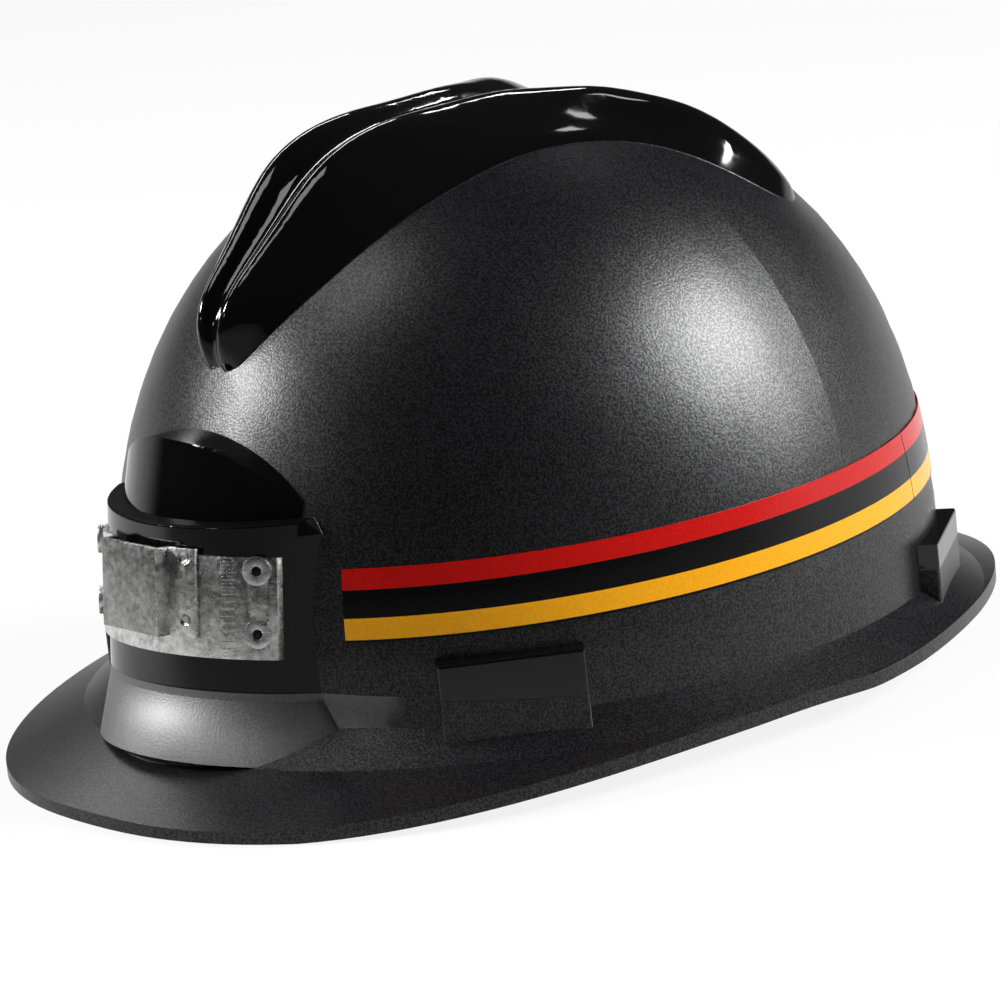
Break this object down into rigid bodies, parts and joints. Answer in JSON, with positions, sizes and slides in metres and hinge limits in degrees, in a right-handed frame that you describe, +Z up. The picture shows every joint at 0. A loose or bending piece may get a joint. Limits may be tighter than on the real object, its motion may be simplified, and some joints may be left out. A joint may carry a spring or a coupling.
{
  "type": "miner helmet",
  "caption": "Black mining safety helmet with full brim, raised V ridge, steel cap lamp bracket, striped tape and an adjustable suspension harness.",
  "frame": {"origin": "middle of the helmet's length and width on the plane that its rim rests on", "axes": "+Z up through the crown, -Y towards the front and the lamp bracket, +X towards the wearer's left side"},
  "size_m": [0.2134, 0.29, 0.1534],
  "materials": {
    "shell": "black moulded ABS, fine frosted dome with gloss ridge and boss",
    "steel": "stamped plain steel sheet",
    "rivet": "plated hollow rivets",
    "tape": "black reflective tape with a red and a yellow line",
    "key": "black moulded plastic",
    "webbing": "woven polyester webbing",
    "patch": "stitched pad where the straps cross",
    "harness": "grey moulded polyethylene",
    "foam": "foam backed cloth",
    "fitting": "black moulded plastic",
    "spring": "spring steel"
  },
  "bodies": {
    "helmet": {"shell": "shell", "tape_left": "tape", "tape_right": "tape", "tape_rear": "tape", "bracket_base_plate": "steel", "bracket_bridge": "steel", "bracket_rivets": "rivet", "rivet_washers": "rivet", "cable_clip": "steel", "cable_clip_rivets": "rivet", "key_front_left": "key", "key_front_right": "key", "key_rear_left": "key", "key_rear_right": "key", "crown_strap_front_left": "webbing", "crown_strap_front_right": "webbing", "crown_patch": "patch", "headband": "harness", "sweatband": "foam", "pivot_buttons": "harness", "chin_strap": "webbing", "chin_hooks": "fitting"},
    "nape": {"nape_arm_left": "harness", "nape_arm_right": "harness", "ratchet_housing": "fitting", "ratchet_cover": "fitting", "click_spring": "spring", "nape_pad": "foam"},
    "left_rack": {"rack_left": "harness"},
    "right_rack": {"rack_right": "harness"},
    "knob": {"ratchet_knob": "fitting", "pinion": "fitting"},
    "slider": {"chin_slider": "fitting"}
  },
  "joints": [
    {"name": "nape_swing", "type": "hinge", "parent": "helmet", "child": "nape", "pos_m": [0, 0.01, 0.038], "axis": [-1, 0, 0], "range_deg": [0, 22]},
    {"name": "knob_turn", "type": "hinge", "parent": "nape", "child": "knob", "pos_m": [0, 0.089, 0.038], "axis": [0, -1, 0], "range_deg": [0, 114.5]},
    {"name": "rack_left_slide", "type": "slide", "parent": "nape", "child": "left_rack", "axis": [-1, 0, 0], "range_m": [0, 0.008]},
    {"name": "rack_right_slide", "type": "slide", "parent": "nape", "child": "right_rack", "axis": [1, 0, 0], "range_m": [0, 0.008]},
    {"name": "chin_slider_slide", "type": "slide", "parent": "helmet", "child": "slider", "axis": [0.3363, 0.9418, 0], "range_m": [-0.004, 0.004]}
  ],
  "couplings": [
    {"joint": "rack_left_slide", "follows": "knob_turn", "m_per_rad": 0.004},
    {"joint": "rack_right_slide", "follows": "knob_turn", "m_per_rad": 0.004}
  ]
}
